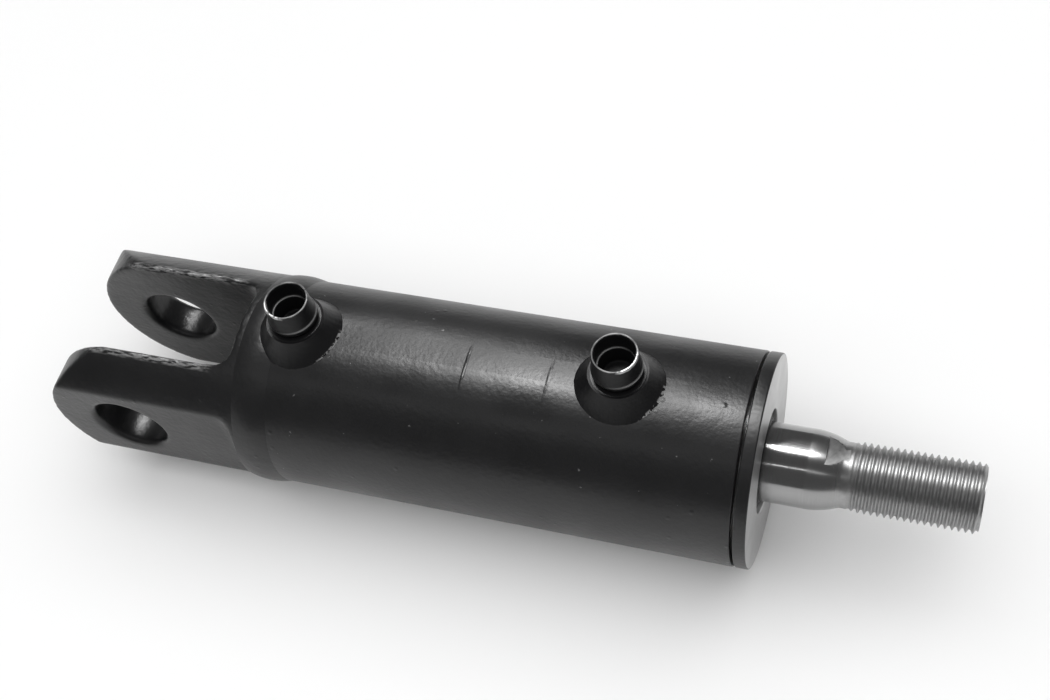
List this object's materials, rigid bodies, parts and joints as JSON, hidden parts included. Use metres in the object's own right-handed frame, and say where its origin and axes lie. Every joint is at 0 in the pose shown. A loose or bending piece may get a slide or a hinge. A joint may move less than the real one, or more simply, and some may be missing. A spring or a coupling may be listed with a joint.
{
  "type": "hydraulic cylinder",
  "caption": "Double-acting welded hydraulic cylinder with a slotted clevis at the cap end, oil ports on top, a screwed-in gland and a rod with a threaded end.",
  "frame": {"origin": "centre of the clevis pin hole, midway between the two ears", "axes": "+X along the cylinder to the rod end, +Y along the clevis pin, +Z through the two oil ports"},
  "size_m": [0.3044, 0.0712, 0.0859],
  "materials": {
    "black_paint": "semi-gloss black enamel over steel",
    "black_plug": "glossy black over steel, rim worn bare",
    "turned_steel": "turned, bare",
    "rod_steel": "ground and polished",
    "seal_rubber": "matt black",
    "seal_plastic": "matt tan"
  },
  "bodies": {
    "barrel": {"clevis_base": "black_paint", "clevis_weld": "black_paint", "barrel_tube": "black_paint", "cap_end_port_boss": "black_paint", "cap_end_port_weld": "black_paint", "rod_end_port_boss": "black_paint", "rod_end_port_weld": "black_paint", "gland": "turned_steel", "gland_backup_ring": "seal_plastic", "gland_o_ring": "seal_rubber", "rod_guide_ring": "seal_plastic", "rod_seal": "seal_rubber", "wiper_seal": "seal_rubber"},
    "piston_rings": {"piston_seal": "seal_plastic", "piston_seal_energizer": "seal_rubber", "piston_wear_ring_rear": "seal_plastic", "piston_wear_ring_front": "seal_plastic"},
    "rod": {"piston_rod": "rod_steel", "piston": "turned_steel", "piston_nut": "turned_steel", "piston_o_ring": "seal_rubber"},
    "cap_end_plug": {"cap_end_port_plug": "black_plug"},
    "rod_end_plug": {"rod_end_port_plug": "black_plug"}
  },
  "joints": [
    {"name": "rod_slide", "type": "slide", "parent": "barrel", "child": "piston_rings", "axis": [1, 0, 0], "range_m": [0, 0.06]},
    {"name": "rod_spin", "type": "hinge", "parent": "piston_rings", "child": "rod", "pos_m": [0.2, 0, 0], "axis": [1, 0, 0], "continuous": true},
    {"name": "cap_end_plug_pull", "type": "slide", "parent": "barrel", "child": "cap_end_plug", "axis": [0, 0, 1], "range_m": [0, 0.015]},
    {"name": "rod_end_plug_pull", "type": "slide", "parent": "barrel", "child": "rod_end_plug", "axis": [0, 0, 1], "range_m": [0, 0.015]}
  ]
}
